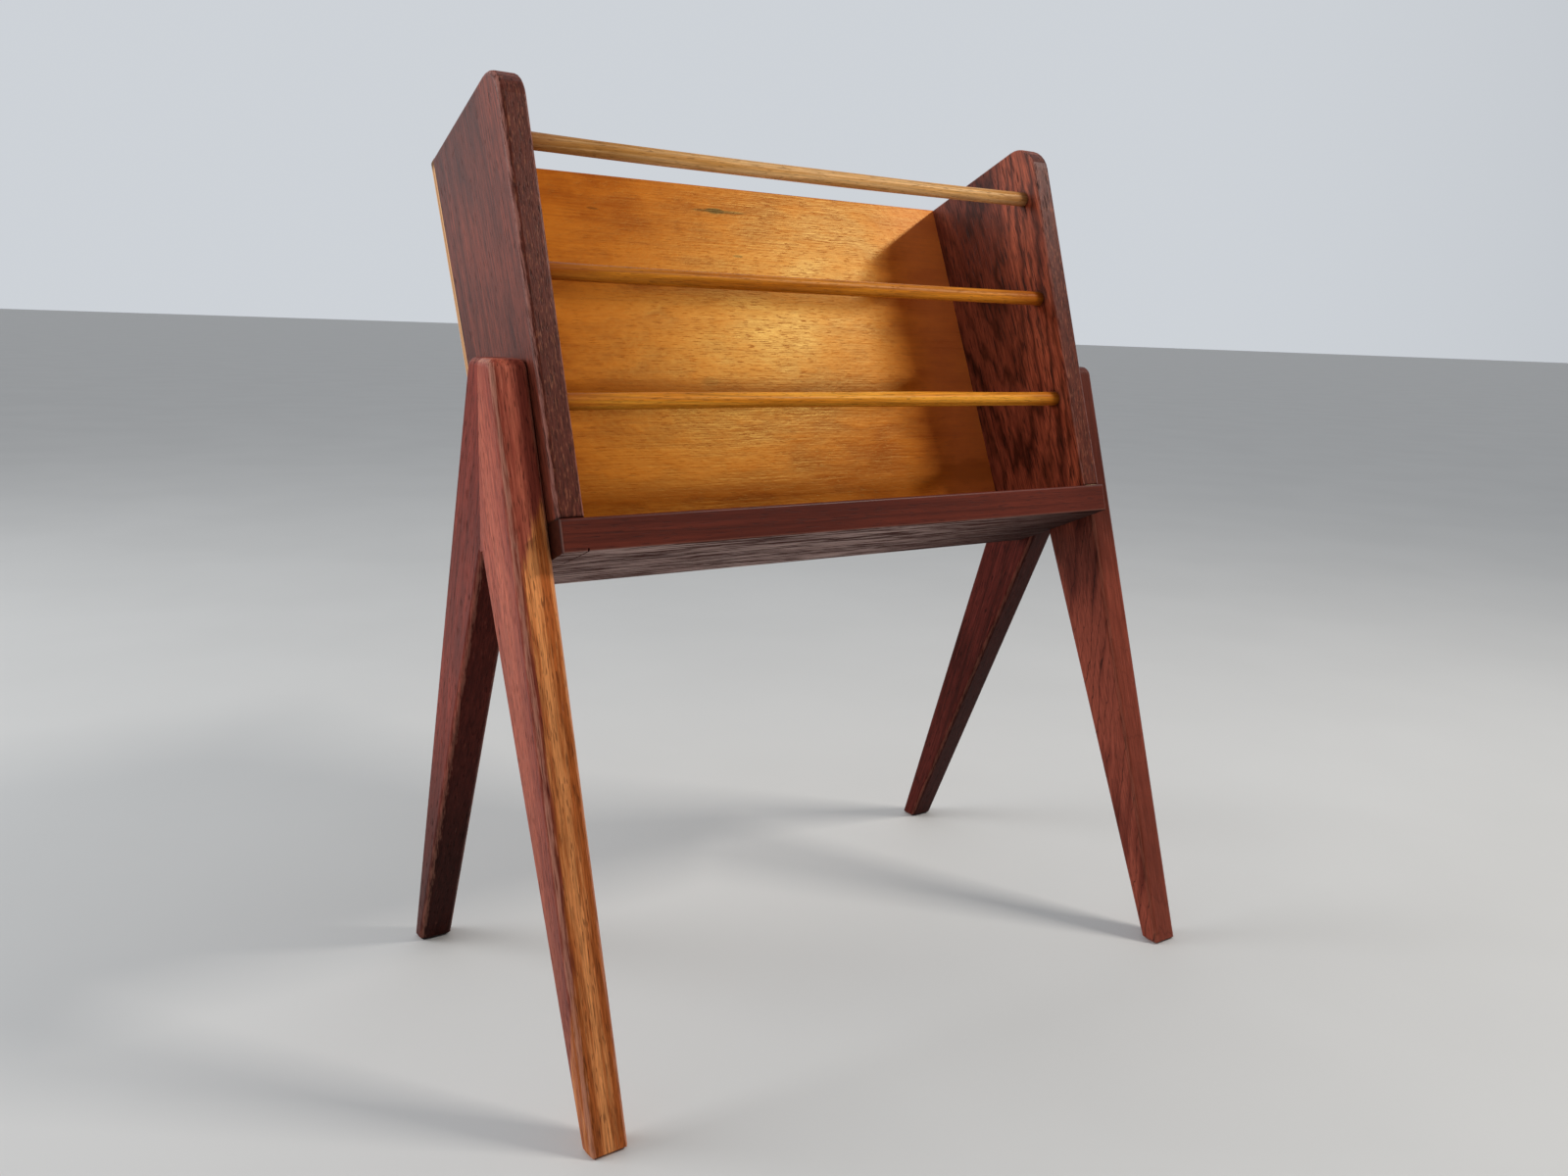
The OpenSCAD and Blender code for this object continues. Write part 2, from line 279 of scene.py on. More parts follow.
class Timber:
    def __init__(self, finish, **changes):
        cut = {**timberDefaults, **changes}
        origin = Vector(cut["origin"]) * mm
        self.finish = finish
        self.cut = cut
        self.across = finish.measure(cut["across"], origin.dot(Vector(cut["across"])))
        self.deep = finish.measure(cut["deep"], origin.dot(Vector(cut["deep"])))
        self.along = finish.measure(cut["along"], origin.dot(Vector(cut["along"])))
        self.drawFibres()

    def fibreSpace(self, stretch, shift=0.0):  # squeezed lengthways, so that noise runs with the grain
        seed = self.cut["seed"] + shift
        along = self.along * stretch + seed * 1.3
        return self.finish.combine(self.across + seed, self.deep + seed * 0.7, along)

    def drawFibres(self):
        finish, cut = self.finish, self.cut
        drawnOut, fine = cut["streak"]
        self.streak = finish.noise(self.fibreSpace(drawnOut, 11), fine, 3.0, 0.6)
        self.fibre = finish.noise(self.fibreSpace(0.05, 23), 1.3, 3.0, 0.65)
        raw = finish.noise(self.fibreSpace(0.1, 43), cut["poreSize"], 1.0, 0.4)
        self.pores = finish.smooth(raw, 0.1, 0.2)
        self.cloud = finish.noise(self.fibreSpace(0.5, 71), 0.02, 2.0)

    def drawFigure(self):  # the growth rings
        finish, cut = self.finish, self.cut
        slow = finish.noise(self.fibreSpace(0.18), 0.016, 2.0)
        quick = finish.noise(self.fibreSpace(0.28, 31), 0.11, 3.0, 0.55)
        fromHeart = self.deep - cut["heart"][1] + self.along * cut["slope"]
        sideStep = self.across - cut["heart"][0]
        radius = (sideStep * sideStep + fromHeart * fromHeart) ** 0.5
        self.ring = (radius + slow * cut["wander"] + quick * cut["jitter"]) / cut["ringGap"]
        phase = self.ring.sum("FRACT", self.ring)
        ringNumber = self.ring.sum("FLOOR", self.ring + 0.5)
        luck = finish.node("TexWhiteNoise", {"noise_dimensions": "1D"}, {"W": ringNumber})
        wave = abs(phase - 0.5) * 2
        rough = (self.streak + self.fibre * 0.7) * cut["feather"]
        patchy = finish.noise(self.fibreSpace(0.25, 57), 0.03, 2.0) * 0.8 + luck * 0.35
        width = cut["lineWidth"]
        edge = wave + rough * width * 2 + patchy * width
        self.line = finish.smooth(edge, 1.0 - width * 0.6, 1.0 + width * 0.5)
        self.band = finish.lineNoise(self.ring, 0.55, 3.0)

    def colour(self):
        self.drawFigure()
        finish, cut = self.finish, self.cut
        bands, streaks, clouds = cut["tones"]
        drift = self.band * bands + self.streak * streaks + self.cloud * clouds
        tone = finish.smooth(drift, -0.24, 0.24)
        wood = finish.blend(tone, tint(cut["body"]), tint(cut["pale"]))
        wood = finish.shade(wood, 1 + self.fibre * cut["fibre"])
        wood = finish.blend(self.line * cut["lineStrength"], wood, tint(cut["line"]))
        return finish.blend(self.pores * cut["pore"], wood, tint(cut["line"], 0.8))

    def height(self):
        return self.pores * -0.06 + self.fibre * 0.07 + self.line * -0.02 + self.streak * 0.03


def arrisOf(finish):  # 1 on the rounded edges between the wide faces and the narrow ones
    side = finish.facing(sideways)
    flat = side * side
    return flat * (1 - flat) * 4


def dress(name, material):
    piece = nodes[name]
    piece.data.materials.clear()
    piece.data.materials.append(material)


satin = {"IOR": 1.45, "Specular IOR Level": 0.27, "Specular Tint": (1.0, 0.7, 0.64, 1)}
oiled = {"IOR": 1.45, "Specular IOR Level": 0.18, "Specular Tint": (1.0, 0.6, 0.5, 1)}
deepOiled = {"IOR": 1.45, "Specular IOR Level": 0.09, "Specular Tint": (1.0, 0.55, 0.45, 1)}
amberOiled = {"IOR": 1.45, "Specular IOR Level": 0.2, "Specular Tint": (1.0, 0.6, 0.25, 1)}
varnish = {"IOR": 1.45, "Specular IOR Level": 0.34, "Specular Tint": (1.0, 0.7, 0.05, 1)}


# end panels

endPanel = {
    # the soot colour carries soot and painted shade round the rails, painted shade along the foot, and
    # the dark joint
    # the wear colour is for pale rubbed arrises: worn wood, and a painted highlight along the rounded
    # edges
    "wearAndHighlight": "b4786a", "sootAndShade": "150a08", "fleck": "a8674a", "pore": "2a120d",
    "dull": 0.36,
    "holeMark": (8.5, 4.8),  # where the soot and painted shade round a rail fade out and are full, in millimetres
}


def endPanelFinish(name, side, nose, darkZone=0.0, worn=0.5, **cut):
    finish = Finish(name)
    wood = Timber(
        finish,
        origin=heel + sideways * boxEnd * side,
        across=outFront,
        deep=sideways,
        along=upBack,
        **cut,
    )
    colour = wood.colour()
    if darkZone:  # darker heartwood behind, paler wood along the front edge, and painted light that lifts the shade on the lower part
        behind = finish.smooth(wood.across + wood.cloud * 50 + wood.streak * 25, 82, 52)
        # painted light: the lower part is lightened where it lies in shade
        low = finish.smooth(wood.along, 130, 20)
        colour = finish.shade(colour, 1.15 - behind * darkZone + low * 0.6)
    front = finish.smooth(finish.facing(outFront), 0.7, 0.9)  # a speckled front edge, darker than the faces: partly its own wood, partly painted shade
    speckled = finish.shade(tint(nose), 1 + wood.fibre * 2.2 + wood.streak * 0.8)
    flecks = finish.smooth(finish.noise(wood.fibreSpace(0.14, 83), 1.1, 2.0, 0.6), 0.04, 0.18)
    speckled = finish.blend(flecks * 0.6, speckled, tint(endPanel["fleck"]))
    speckled = finish.blend(wood.pores * 0.7, speckled, tint(endPanel["pore"]))
    colour = finish.blend(front * 0.85, colour, speckled)
    arris = arrisOf(finish)
    # pale rubbed arrises: worn wood, and a painted highlight where the rounded edges catch the light
    rubbedArrisAndHighlight = finish.smooth(arris + wood.fibre * 2.2 + wood.streak * 1.4, 0.55, 1.1)
    colour = finish.blend(rubbedArrisAndHighlight * worn, colour, tint(endPanel["wearAndHighlight"]))
    railHoleSootAndShade = 0.0  # soot and painted shade round the rails, painted shade in the crease along the foot, and a dark joint
    for rod in (lowRail, midRail, topRail):
        forward, up = inBox(rod)
        ring = ((wood.across - forward) ** 2 + (wood.along - up) ** 2) ** 0.5
        mark = finish.smooth(ring + wood.cloud * 4, *endPanel["holeMark"])
        railHoleSootAndShade = mark + railHoleSootAndShade
    railHoleSootAndShade = railHoleSootAndShade * finish.smooth(finish.facing(sideways * -side), 0.5, 0.8)
    # painted shade in the crease where the panel stands on the board
    foot = finish.smooth(wood.along + wood.fibre * 4, 2.6, 0.0)
    joint = finish.smooth(wood.along, 1.6, 0.5)
    grimeAndShade = finish.most(finish.most(railHoleSootAndShade * 0.55, foot * 0.6), joint * 0.95)
    colour = finish.blend(grimeAndShade, colour, tint(endPanel["sootAndShade"]))
    endGrain = finish.smooth(finish.facing(upBack), 0.5, 0.8)
    uneven = wood.pores * 0.25 + wood.cloud * 0.15 + wood.fibre * 0.15
    roughness = endPanel["dull"] + endGrain * 0.35 + uneven
    return finish.coat(colour, roughness, wood.height() + rubbedArrisAndHighlight * -0.05, satin)


leftPanelWood = endPanelFinish(
    "leftPanelWood", -1, "5a2a20", worn=0.7, tones=(0.6, 0.4, 0.9), heart=(-60, 25), ringGap=3.2,
    wander=9, jitter=0.8, lineWidth=0.5, lineStrength=0.35, streak=(0.07, 0.8), fibre=3.2,
    pale="7c3b2b", body="55261b", line="2c120d", pore=0.6, seed=5,
)
rightPanelWood = endPanelFinish(
    "rightPanelWood", 1, "4e2219", darkZone=0.36, heart=(34, 60), slope=0.1, ringGap=5.5, wander=28,
    jitter=10.0, lineWidth=0.7, lineStrength=0.8, feather=1.1, streak=(0.06, 0.6), fibre=3.0,
    pale="9c4f36", body="6e3324", line="1c0b08", pore=0.7, poreSize=0.8, seed=19,
)
dress("end_panel_left", leftPanelWood)
dress("end_panel_right", rightPanelWood)
print("end panels finished")


# bottom board: a smooth front edge, and a dry grey underside with painted shade

board = {
    # split is painted shade, nearly black inside the crack in the underside
    "weathered": "c2a8a0", "weatheredDark": "3a2622", "split": "080403",
    # pale lines on the lower front arris and the end arrises: worn wood and a painted highlight
    "lowArrisWearAndHighlight": "8f5b4b", "endArrisWearAndHighlight": "9a7468", "endFace": "1c0c0a",
    "gloss": 0.3,
    "splitDepth": (-17.3, -16.9),  # just above the underside, in millimetres
}


def boardFinish():
    finish = Finish("boardWood")
    wood = Timber(
        finish, origin=heel, across=outFront, deep=upBack, along=sideways, heart=(40, -45), slope=0.01,
        ringGap=3.0, wander=8, jitter=0.6, lineStrength=0.3, fibre=0.7, pale="6e2e20", body="5a251a",
        line="2a100c", pore=0.35, seed=41,
    )
    under = finish.smooth(finish.facing(-upBack), 0.6, 0.9)
    coarse = finish.noise(wood.fibreSpace(0.06, 5), 0.5, 4.0, 0.7)
    furrow = finish.smooth(coarse + wood.streak * 0.8, 0.07, -0.1)
    grey = finish.blend(furrow, tint(board["weathered"]), tint(board["weatheredDark"]))
    fade = finish.smooth(wood.along + wood.cloud * 80, 190, -20)
    # painted shade: the underside is darkened, least at the left end and most at the right end
    shadedUnderside = finish.shade(wood.colour(), 1 - under * (0.75 - fade * 0.4))
    colour = finish.blend(under * (0.66 + wood.cloud) * (0.1 + fade * 0.9), shadedUnderside, grey)
    nose = finish.facing(outFront)
    # painted shade: nearly black inside the crack
    paintedSplitShade = under * finish.smooth(wood.deep, *board["splitDepth"])
    colour = finish.blend(paintedSplitShade * 0.95, colour, tint(board["split"]))
    # pale arris lines: worn wood and a painted highlight along the rounded edges
    lowArrisWearAndHighlight = finish.smooth(finish.facing(-upBack), 0.15, 0.5) * finish.smooth(nose, 0.2, 0.6)
    colour = finish.blend(lowArrisWearAndHighlight * 0.4, colour, tint(board["lowArrisWearAndHighlight"]))
    endArrisWearAndHighlight = finish.smooth(abs(finish.facing(sideways)) * nose * 2, 0.6, 1.0)
    colour = finish.blend(endArrisWearAndHighlight * 0.45, colour, tint(board["endArrisWearAndHighlight"]))
    endFace = finish.smooth(abs(finish.facing(sideways)), 0.7, 0.9)
    colour = finish.blend(endFace * 0.7, colour, tint(board["endFace"]))
    roughness = 0.4 + under * 0.5 + wood.pores * 0.1 + wood.cloud * 0.1
    height = wood.height() * 0.6 + under * furrow * -0.35
    finish.feed("Coat Weight", (1 - under) * board["gloss"])
    dry = {"IOR": 1.45, "Specular IOR Level": 0.08, "Coat Roughness": 0.36, "Coat IOR": 1.4}
    return finish.coat(colour, roughness, height, dry)


dress("bottom_board", boardFinish())
print("board finished")


# plywood back: amber varnished veneer, with cross plies showing in its edge

plywood = {
    "amber": "d8741b", "deep": "b15210", "shade": "74340a", "knot": "4a1208",
    # painted light: a lighter, redder tone for the right end, where the right end panel's shadow falls
    "paintedLightInShadow": "c0693a", "ruddy": "9a4a10",
    "outerPly": "e0a878", "middlePly": "b5825a", "plyPore": "8a5c3a",
    "topEdge": "4a2412", "lowEdge": "241410",
    "dryPale": "c6a075", "dryDeep": "ad8458", "dryPore": "7c5835",
    "middle": 2.25,  # millimetres from the face to the middle of the sheet
    "stainedTop": (233, 238),  # how far up the back the edge turns dark
}
knots = (  # how far along and up the back, half length, half height, darkness
    (-12.6, 223.9, 7.0, 1.9, 1.0),
    (-10.0, 223.6, 20.0, 1.2, 0.7),
    (-0.6, 192.4, 4.0, 1.0, 0.6),
    (-102.0, 218.0, 4.0, 0.8, 0.5),
    (-41.0, 104.5, 6.0, 3.0, 0.25),
)


def plywoodFinish():
    finish = Finish("plywood")
    wood = Timber(finish, origin=heel, across=upBack, deep=outFront, along=sideways, seed=73)
    cloudy = finish.noise(wood.fibreSpace(0.45, 3), 0.045, 4.0, 0.62)
    grain = finish.noise(wood.fibreSpace(0.04, 9), 0.8, 3.0, 0.6)
    bands = finish.lineNoise(wood.across + cloudy * 30, 0.05, 2.0)
    tone = finish.smooth(cloudy * 1.9 + bands * 0.8 + wood.streak * 0.6 + grain * 0.4, -0.4, 0.4)
    veneer = finish.blend(tone, tint(plywood["deep"]), tint(plywood["amber"]))
    flecks = finish.smooth(finish.noise(wood.fibreSpace(0.2, 15), 0.42, 3.0, 0.7), 0.1, 0.3)
    veneer = finish.blend(flecks * 0.3, veneer, tint(plywood["shade"]))
    fine = finish.smooth(finish.noise(wood.fibreSpace(0.07, 27), 1.5, 1.0), 0.1, 0.22)
    veneer = finish.blend(fine * 0.28, veneer, tint(plywood["shade"], 0.8))
    # painted light: the right end, in the right end panel's shadow, is lightened and reddened
    paintedLightInShadow = finish.smooth(wood.along + cloudy * 30, 105, 165)
    veneer = finish.blend(paintedLightInShadow * 0.6, veneer, tint(plywood["paintedLightInShadow"]))
    veneer = finish.shade(veneer, 1 + paintedLightInShadow * 0.5)
    ruddy = finish.smooth(abs(wood.across - 40 + cloudy * 30), 12, 3) * 0.35
    veneer = finish.blend(ruddy, veneer, tint(plywood["ruddy"]))
    measures = (wood.along + wood.streak * 8, wood.across + wood.fibre * 1.5)
    for x, up, halfLength, halfHeight, share in knots:
        spot = finish.blob(measures, (x, up), (halfLength, halfHeight), 0.6)
        veneer = finish.blend(spot * share, veneer, tint(plywood["knot"]))
    front = finish.smooth(finish.facing(outFront), 0.5, 0.8)
    back = finish.smooth(finish.facing(-outFront), 0.5, 0.8)
    plies = finish.smooth(abs(wood.deep + plywood["middle"] + wood.fibre * 0.15), 0.75, 0.85)
    edge = finish.blend(plies, tint(plywood["middlePly"]), tint(plywood["outerPly"]))
    edgePores = finish.smooth(wood.fibre, 0.0, 0.3)
    edge = finish.blend(edgePores * 0.4, edge, tint(plywood["plyPore"]))
    topEdge = finish.smooth(wood.across + wood.fibre * 4, *plywood["stainedTop"])
    edge = finish.blend(topEdge * 0.85, edge, tint(plywood["topEdge"]))
    lowEdge = finish.smooth(finish.facing(-upBack), 0.4, 0.7)
    edge = finish.blend(lowEdge * 0.9, edge, tint(plywood["lowEdge"]))
    dry = finish.smooth(grain * 0.8 + wood.streak * 0.8 + cloudy * 0.5, -0.3, 0.3)
    bare = finish.blend(dry, tint(plywood["dryDeep"]), tint(plywood["dryPale"]))
    bare = finish.blend(fine * 0.45, bare, tint(plywood["dryPore"]))
    colour = finish.blend(front, edge, veneer)
    colour = finish.blend(back, colour, bare)
    roughness = 0.31 + grain * 0.15 + cloudy * 0.2 + (1 - front) * 0.35
    height = grain * 0.09 + cloudy * 0.45 + fine * -0.04 + flecks * -0.02
    return finish.coat(colour, roughness, height, varnish)


dress("back_panel", plywoodFinish())
print("plywood finished")


# rails: dowel rods, a little uneven, each with its own bow

rail = {
    "rounds": 40, "steps": 96, "swells": 5,
    "unevenness": 0.00012, "flats": 0.00016,  # metres
    "chamfer": 0.12,  # share of the radius
    "hidden": 0.955,  # share of the half length at which the rod enters its holes
    # the soot colour is soot and painted shade where a rail enters its hole
    "grain": "6b3513", "smoke": "8a5426", "sootAndShade": "3a160a",
}
rails = {  # bow at the middle in metres, up first and forward second
    "top": {
        "bow": (-0.0012, 0.0004), "pale": "f6c283", "body": "d4954d", "end": "8c4a1c",
        "smoky": 0.35, "seed": 3,
    },
    "middle": {
        "bow": (-0.0004, 0.0002), "pale": "e08a26", "body": "b96614", "end": "8c360f",
        "smoky": 0.15, "seed": 27,
    },
    "bottom": {
        "bow": (0.0003, 0.0), "pale": "ffae3a", "body": "e08722", "end": "9a4010",
        "smoky": 0.1, "seed": 51,
    },
}


def closeRings(name, made, rings, material):  # rings of points become a smooth rod with flat ends
    around = len(rings[0])
    for first, second in zip(rings, rings[1:]):
        for turn in range(around):
            after = (turn + 1) % around
            made.faces.new((first[turn], first[after], second[after], second[turn]))
    made.faces.new(rings[0][::-1])
    made.faces.new(rings[-1])
    bmesh.ops.recalc_face_normals(made, faces=made.faces)
    mesh = bpy.data.meshes.new(name)
    made.to_mesh(mesh)
    made.free()
    for face in mesh.polygons:
        face.use_smooth = len(face.vertices) == 4
    mesh.materials.append(material)
    piece = bpy.data.objects.new(name, mesh)
    bpy.context.scene.collection.objects.link(piece)
    return piece


def railFinish(name, own):
    finish = Finish(name)
    wood = Timber(
        finish, origin=lowRail, across=upBack, deep=outFront, along=sideways, heart=(30, 40), slope=0.02,
        ringGap=1.6, wander=5, jitter=0.5, lineWidth=0.6, lineStrength=0.4, fibre=1.2, pale=own["pale"],
        body=own["body"], line=rail["grain"], pore=0.4, poreSize=1.6, seed=own["seed"],
    )
    fromMiddle = abs(finish.measure(sideways))
    dark = finish.smooth(fromMiddle + wood.cloud * 60, 135, 188)
    smoky = finish.smooth(wood.along + wood.cloud * 90, -60, -170)
    # soot and painted shade where the rod goes into its holes
    sootAndShade = finish.smooth(fromMiddle, 178, 185)
    colour = finish.blend(smoky * own["smoky"], wood.colour(), tint(rail["smoke"]))
    colour = finish.blend(dark * 0.6, colour, tint(own["end"]))
    colour = finish.blend(sootAndShade * 0.5, colour, tint(rail["sootAndShade"]))
    roughness = 0.38 + wood.fibre * 0.2 + wood.pores * 0.2
    return finish.coat(colour, roughness, wood.height() * 0.8, amberOiled)


def turnRail(place, own):
    node = "rail_" + place
    low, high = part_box(node)
    centre, half, radius = (low + high) / 2, (high.x - low.x) / 2, (high.z - low.z) / 2
    draw = random.Random(own["seed"])
    swells = [
        (draw.uniform(2, 9), draw.uniform(0, 6.28), draw.uniform(0.3, 1)) for _ in range(rail["swells"])
    ]
    twist = draw.uniform(0, 6.28)
    made = bmesh.new()
    rings = []
    chamfer = radius * rail["chamfer"]
    for step in range(rail["steps"] + 1):
        part = step / rail["steps"] * 2 - 1
        inset = chamfer if step in (0, rail["steps"]) else 0
        bulge = sum(size * math.sin(pitch * part + phase) for pitch, phase, size in swells)
        free = max(0.0, 1 - (abs(part) / rail["hidden"]) ** 8)  # no unevenness inside the holes
        arch = (1 - part * part) * free
        ring = []
        for turn in range(rail["rounds"]):
            angle = turn / rail["rounds"] * math.tau
            flat = rail["flats"] * math.cos(3 * angle + twist + part * 2) * free
            worn = rail["unevenness"] * (0.5 + 0.4 * bulge) * free
            reach = radius - inset - worn + flat - rail["flats"] * free
            y = centre.y + reach * math.cos(angle) - own["bow"][1] * arch
            z = centre.z + reach * math.sin(angle) + own["bow"][0] * arch
            ring.append(made.verts.new((centre.x + part * half, y, z)))
        rings.append(ring)
    rod = closeRings(place + "RailRod", made, rings, railFinish(place + "RailWood", own))
    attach(rod, "root")
    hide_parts(node)


for place, own in rails.items():
    turnRail(place, own)
print("rails turned")


# legs

# the wear colour is for pale rubbed arrises: worn wood, and a painted highlight
leg = {"sapPale": "da8c52", "sapDeep": "a65728", "sapPore": "5a2c14", "wearAndHighlight": "cf9078"}
legThickness = (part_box("front_leg_left")[1].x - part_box("front_leg_left")[0].x) * mm
frameTopHalf = 0.015  # half the width of the frame's head


def legEdge(name):  # the top of the leg's outer edge, its direction down to the foot, and its length
    low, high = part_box(name)
    reach, ahead = (low.y, -1) if abs(low.y) > abs(high.y) else (high.y, 1)
    top = Vector(((low.x + high.x) / 2, frameTopHalf * ahead, high.z))
    foot = Vector((top.x, reach, low.z))
    down = (foot - top).normalized()
    return top, down, Vector((0, -down.z * ahead, abs(down.y))), (foot - top).length * mm


def legFinish(
    name, node, outerSide, sap=False, noseColourAndShade="", headShade=0.0, footShade=0.0, worn=0.4,
    gloss=oiled, **cut
):
    finish = Finish(name)
    top, down, ahead, length = legEdge(node)
    wood = Timber(finish, origin=top, across=sideways * outerSide, deep=ahead, along=down, **cut)
    colour = wood.colour()
    arris = arrisOf(finish)
    share = wood.along / length
    # one colour on the narrow edge faces; on the back legs it is nearly black, painted shade on faces
    # that look down towards the floor
    if noseColourAndShade:
        plain = finish.shade(tint(noseColourAndShade), 1 + wood.fibre * 1.4 + wood.streak * 0.8)
        colour = finish.blend(finish.smooth(abs(finish.facing(ahead)), 0.6, 0.85) * 0.8, colour, plain)
    # painted shade darkens the head and the foot; a negative headShade paints light onto the head
    # instead
    head = finish.smooth(share + wood.cloud * 0.3, 0.42, 0.2) * headShade
    paintedFootShade = finish.smooth(share + wood.cloud * 0.3, 0.45, 0.85) * footShade
    colour = finish.shade(colour, 1 - head - paintedFootShade)
    if sap:  # golden sapwood on the inner front corner, spreading over the whole foot
        inner = legThickness / 2 - wood.across
        climb = finish.smooth(share, 0.1, 0.3) * 7.5 + finish.smooth(share, 0.76, 0.96) * 14
        field = inner * 0.35 + wood.deep * 0.94 + climb - 8.9 + wood.cloud * 5 + wood.streak * 4
        sapwood = finish.smooth(field, -1.0, 1.0)
        tone = finish.smooth(wood.streak + wood.band, -0.2, 0.2)
        golden = finish.blend(tone, tint(leg["sapDeep"]), tint(leg["sapPale"]))
        # painted light: the upper sapwood is lightened where the board and end panel shade it
        golden = finish.shade(golden, 1 + wood.fibre * 2.2 + finish.smooth(share, 0.5, 0.25) * 0.45)
        golden = finish.blend(wood.pores * 0.6, golden, tint(leg["sapPore"]))
        colour = finish.blend(sapwood, colour, golden)
    # pale rubbed arrises: worn wood, and a painted highlight along the rounded edges
    rubbedArrisAndHighlight = finish.smooth(arris + wood.fibre * 2.8 + wood.streak * 1.2, 0.35, 1.15)
    colour = finish.blend(rubbedArrisAndHighlight * worn, colour, tint(leg["wearAndHighlight"]))
    roughness = 0.38 + wood.pores * 0.25 + wood.cloud * 0.2 + wood.fibre * 0.15
    return finish.coat(colour, roughness, wood.height() + rubbedArrisAndHighlight * wood.fibre * 0.5, gloss)


# painted light on the head, which lies in the end panel's shadow, and painted shade at the foot
dress("front_leg_left", legFinish(
    "leftFrontLegWood", "front_leg_left", -1, sap=True, headShade=-0.2, footShade=0.25, worn=0.6,
    heart=(-70, -45), slope=0.01, ringGap=3, wander=8, jitter=0.8, lineStrength=0.3, streak=(0.05, 0.6),
    poreSize=1.4, pale="b05b45", body="883c2e", line="4a1f18", pore=0.7, seed=101,
))
# nearly black edge faces and a dark foot: painted shade
dress("back_leg_left", legFinish(
    "leftBackLegWood", "back_leg_left", -1, noseColourAndShade="3a1310", footShade=0.62, worn=0.2,
    gloss=deepOiled, heart=(-50, 15), ringGap=3.5, wander=9, jitter=1, lineStrength=0.35,
    streak=(0.05, 0.6), pale="8f3d30", body="66281f", line="2a0f0c", seed=131,
))
# painted shade on the head, under the box
dress("front_leg_right", legFinish(
    "rightFrontLegWood", "front_leg_right", 1, noseColourAndShade="853f2f", headShade=0.56, footShade=0.1,
    worn=0.12, heart=(6, -46), slope=0.3, ringGap=6.5, wander=18, jitter=9.0, lineWidth=0.17,
    lineStrength=0.95, feather=0.3, tones=(1.2, 0.6, 1.6), pale="9a4a38", body="6a2a1f",
    line="220e0a", pore=0.4, seed=163,
))
# dark wood, darkened further as painted shade, with nearly black edge faces that are painted shade
dress("back_leg_right", legFinish(
    "rightBackLegWood", "back_leg_right", 1, noseColourAndShade="30100c", worn=0.12, gloss=deepOiled,
    heart=(-50, 15), ringGap=3.5, wander=9, jitter=1, lineStrength=0.4, streak=(0.05, 0.6),
    pale="57201a", body="3b140f", line="1a0907", seed=191,
))
print("legs finished")


# a thin bead of old glue, squeezed out where the right end panel meets the board

bead = {  # millimetres
    "length": 13.0, "inset": 1.5, "forward": 82.4, "lift": 0.3, "radius": 0.5,
    "sides": 10, "steps": 40, "seed": 9,
    "pale": "b8a078", "dark": "7a5436",
}


def glueFinish():
    finish = Finish("oldGlue")
    lumps = finish.noise(finish.spot, 0.9, 3.0, 0.6)
    colour = finish.blend(finish.smooth(lumps, -0.1, 0.2), tint(bead["pale"]), tint(bead["dark"]))
    return finish.coat(colour, 0.45 + lumps * 0.2, lumps * 0.1, {"IOR": 1.45})


def layBead():
    draw = random.Random(bead["seed"])
    sides, steps = bead["sides"], bead["steps"]
    angles = [turn / sides * math.tau for turn in range(sides)]
    made = bmesh.new()
    rings = []
    start = boxEnd - (bead["inset"] + bead["length"]) / mm
    middle = heel + (outFront * bead["forward"] + upBack * bead["lift"]) / mm
    for step in range(steps + 1):
        part = step / steps
        swell = (0.25 + math.sin(part * math.pi) ** 0.5) * draw.uniform(0.6, 1.0) * bead["radius"] / mm
        centre = middle + sideways * (start + part * bead["length"] / mm)
        rings.append([
            made.verts.new(centre + (upBack * math.sin(angle) + outFront * math.cos(angle)) * swell)
            for angle in angles
        ])
    piece = closeRings("glueBead", made, rings, glueFinish())
    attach(piece, "root")


layBead()
print("glue bead laid")


# dowels and pins

dowel = {"pale": "d0a878", "body": "b98d5c", "line": "7c5833"}
pin = {"steel": "8b8a86", "rust": "5b3a28"}


def dowelFinish():
    finish = Finish("dowelWood")
    wood = Timber(
        finish, across=(0, 1, 0), deep=(0, 0, 1), along=sideways, ringGap=1.2, lineStrength=0.4, seed=7,
        **dowel,
    )
    return finish.coat(wood.colour(), 0.6 + wood.fibre * 0.2, wood.height(), oiled)


def pinFinish():
    finish = Finish("pinSteel")
    patch = finish.noise(finish.spot, 1.2, 3.0, 0.6)
    rust = finish.smooth(patch, 0.05, 0.25)
    colour = finish.blend(rust, tint(pin["steel"]), tint(pin["rust"]))
    finish.feed("Metallic", 1 - rust * 0.8)
    return finish.coat(colour, 0.35 + rust * 0.35, patch * 0.03, {"IOR": 1.5})


dowelWood, pinSteel = dowelFinish(), pinFinish()
for name in nodes:
    if "dowels" in name:
        dress(name, dowelWood)
    elif "pins" in name:
        dress(name, pinSteel)
print("dowels and pins finished")


# floor and light

studio = {  # places and sizes in metres, turn and rise in degrees
    "floor": "d6d4d1", "floorRadius": 60,
    "air": "dde2e8", "airStrength": 0.85, "dimmest": 0.2, "wallSide": (-0.2, 1, 0),
    "target": (0, 0.08, 0.40),
    "keyTurn": 47, "keyRise": 37.5, "keyAway": 1.7, "keyPower": 15.5, "keySize": (0.42, 0.06),
    "keyColour": (1, 0.97, 0.92),
    "fillPlace": (-1.9, 0.95, 0.75), "fillPower": 26, "fillSize": (1.3, 1.3),
    "fillColour": (0.93, 0.97, 1),
}


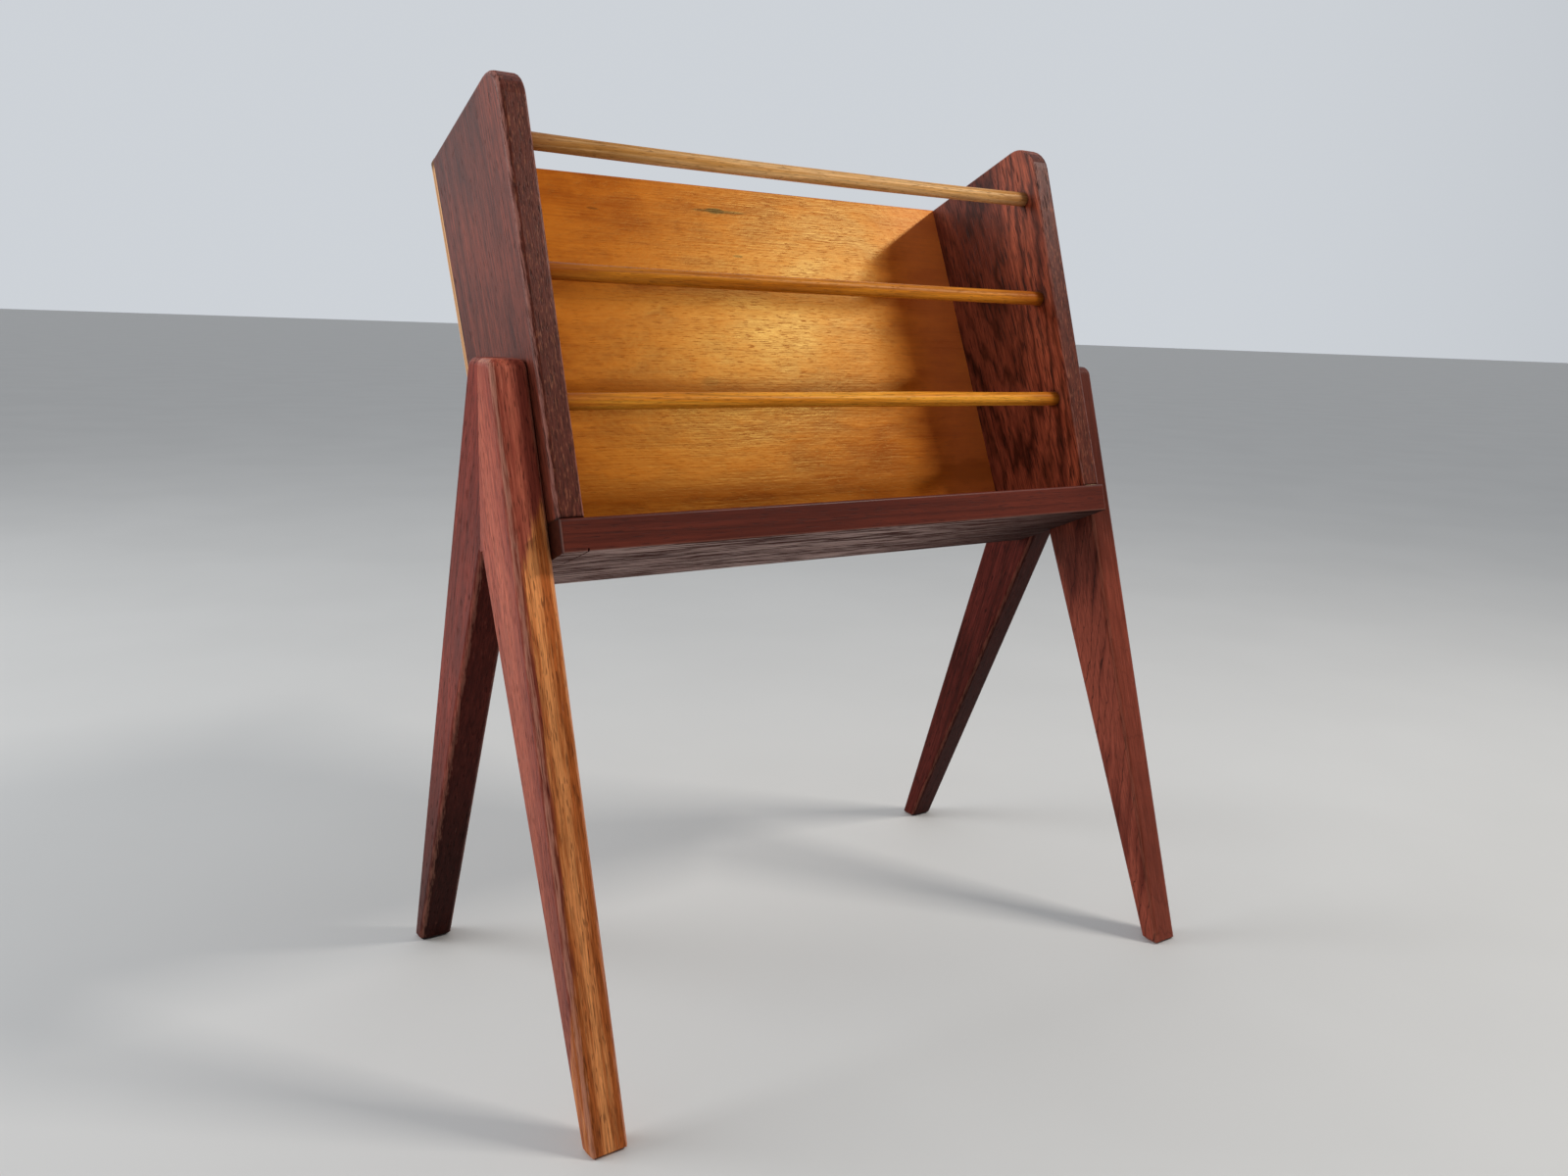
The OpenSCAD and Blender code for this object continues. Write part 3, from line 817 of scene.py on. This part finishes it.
def layFloor():
    mesh = bpy.data.meshes.new("floor")
    made = bmesh.new()
    bmesh.ops.create_circle(made, cap_ends=True, segments=96, radius=studio["floorRadius"])
    made.to_mesh(mesh)
    made.free()
    floor = bpy.data.objects.new("floor", mesh)
    bpy.context.scene.collection.objects.link(floor)
    finish = Finish("floorPaint")
    patch = finish.noise(finish.spot, 0.004, 3.0)
    unevenTone = finish.smooth(patch, -0.3, 0.3)
    colour = finish.blend(unevenTone, tint(studio["floor"]), tint(studio["floor"], 0.96))
    mesh.materials.append(finish.coat(colour, 0.75 + patch * 0.05, patch * 0.02, {"IOR": 1.45}))


def hangLight(name, place, aim, size, power, colour, lengthways):
    data = bpy.data.lights.new(name, "AREA")
    data.shape = "RECTANGLE"
    data.size, data.size_y = size
    data.energy = power
    data.color = colour
    lamp = bpy.data.objects.new(name, data)
    back = (place - aim).normalized()
    wide = (lengthways - back * lengthways.dot(back)).normalized()
    turned = Matrix((wide, back.cross(wide), back)).transposed().to_4x4()
    lamp.matrix_world = Matrix.Translation(place) @ turned
    lamp.visible_camera = False
    bpy.context.scene.collection.objects.link(lamp)


def lightStudio():
    world = bpy.data.worlds.new("studioAir")
    world.use_nodes = True
    air = Recipe(world.node_tree)
    direction = air.node("TexCoord", out="Generated")
    sockets = {0: direction, 1: studio["wallSide"]}
    towardsWall = air.node("VectorMath", {"operation": "DOT_PRODUCT"}, sockets, "Value")
    settings = {"interpolation_type": "SMOOTHSTEP"}
    sockets = {"Value": towardsWall, "From Min": -0.9, "From Max": 0.5}
    sockets.update({"To Min": studio["dimmest"], "To Max": 1.0})
    strength = air.node("MapRange", settings, sockets) * studio["airStrength"]
    glow = air.node("Background", None, {"Color": tint(studio["air"]), "Strength": strength})
    output = world.node_tree.nodes.new("ShaderNodeOutputWorld")
    world.node_tree.links.new(glow.socket, output.inputs[0])
    bpy.context.scene.world = world
    target = Vector(studio["target"])
    turn, rise = math.radians(studio["keyTurn"]), math.radians(studio["keyRise"])
    towards = Vector((math.sin(turn) * math.cos(rise), -math.cos(turn) * math.cos(rise), math.sin(rise)))
    hangLight(
        "window", target + towards * studio["keyAway"], target,
        studio["keySize"], studio["keyPower"], studio["keyColour"], outFront,
    )
    hangLight(
        "sideSky", target + Vector(studio["fillPlace"]), target,
        studio["fillSize"], studio["fillPower"], studio["fillColour"], upBack,
    )
    bpy.context.scene.view_settings.view_transform = "Standard"


layFloor()
lightStudio()
print("studio ready")
